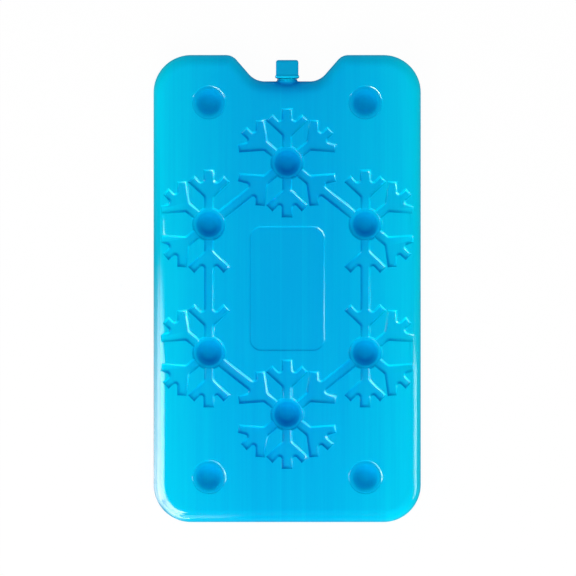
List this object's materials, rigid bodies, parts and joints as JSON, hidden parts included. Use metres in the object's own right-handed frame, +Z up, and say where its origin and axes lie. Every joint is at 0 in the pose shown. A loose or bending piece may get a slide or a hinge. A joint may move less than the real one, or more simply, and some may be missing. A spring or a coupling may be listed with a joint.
{
  "type": "reusable ice pack",
  "caption": "Flat blow-moulded ice pack with rounded edges, a notched end with a plugged filler neck, and a recessed snowflake relief with kiss-off dimples.",
  "frame": {"origin": "centre of the pack's outline, on the surface that its back rests on", "axes": "+Z up out of the front face with the relief, +Y along the length towards the filler neck, +X across the width"},
  "size_m": [0.143, 0.25, 0.015],
  "materials": {
    "shell_plastic": "translucent cyan-blue blow-moulded plastic with a soft gloss, filled with clear liquid",
    "plug_plastic": "moulded blue plastic with a satin gloss"
  },
  "bodies": {
    "root": {"pack_shell": "shell_plastic", "filler_plug": "plug_plastic"}
  },
  "joints": []
}
